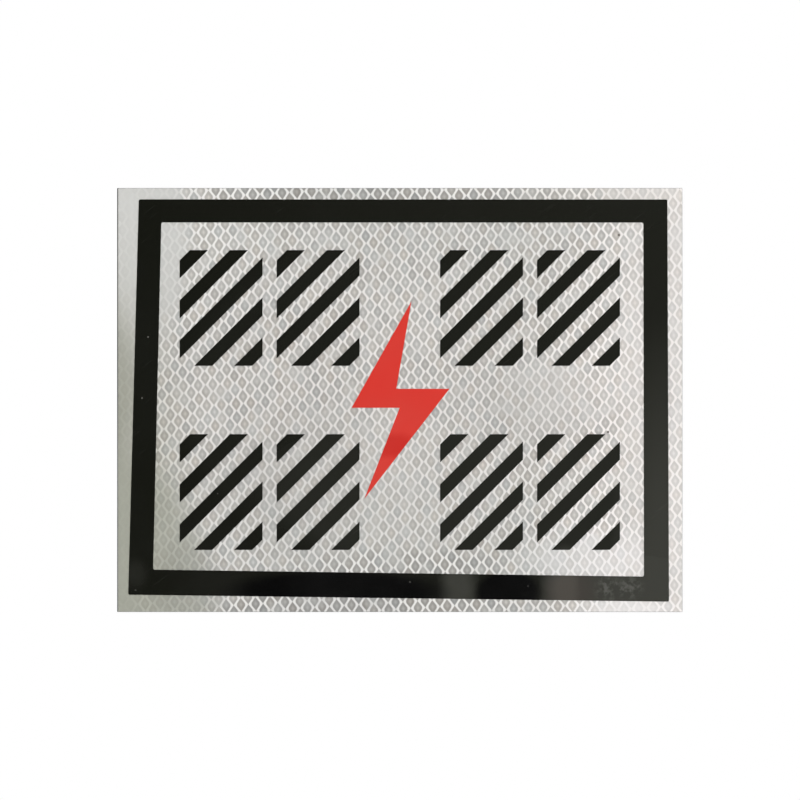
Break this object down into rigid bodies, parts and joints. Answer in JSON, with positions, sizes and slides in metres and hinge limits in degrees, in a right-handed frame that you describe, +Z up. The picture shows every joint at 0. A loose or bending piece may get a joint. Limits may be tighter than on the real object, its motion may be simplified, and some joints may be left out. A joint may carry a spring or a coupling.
{
  "type": "high voltage warning sign",
  "caption": "Flat rectangular warning sign: metal plate faced with white lattice sheeting, black border and striped blocks, and a red lightning bolt between them.",
  "frame": {"origin": "centre of the plate's back face", "axes": "+Z up and +X to the right as the face is read, +Y out of the back towards the wall or post, so the face looks towards -Y"},
  "size_m": [0.4, 0.0021, 0.3],
  "materials": {
    "plate_metal": "mill finish, satin",
    "white_sheeting": "clear smooth face over white prismatic cells in a lattice of seal lines",
    "black_film": "gloss cut film",
    "red_film": "gloss cut film"
  },
  "bodies": {
    "root": {"backing_plate": "plate_metal", "reflective_sheeting": "white_sheeting", "border_film": "black_film", "bolt_film": "red_film", "stripes_top_1": "black_film", "stripes_top_2": "black_film", "stripes_top_3": "black_film", "stripes_top_4": "black_film", "stripes_bottom_1": "black_film", "stripes_bottom_2": "black_film", "stripes_bottom_3": "black_film", "stripes_bottom_4": "black_film"}
  },
  "joints": []
}
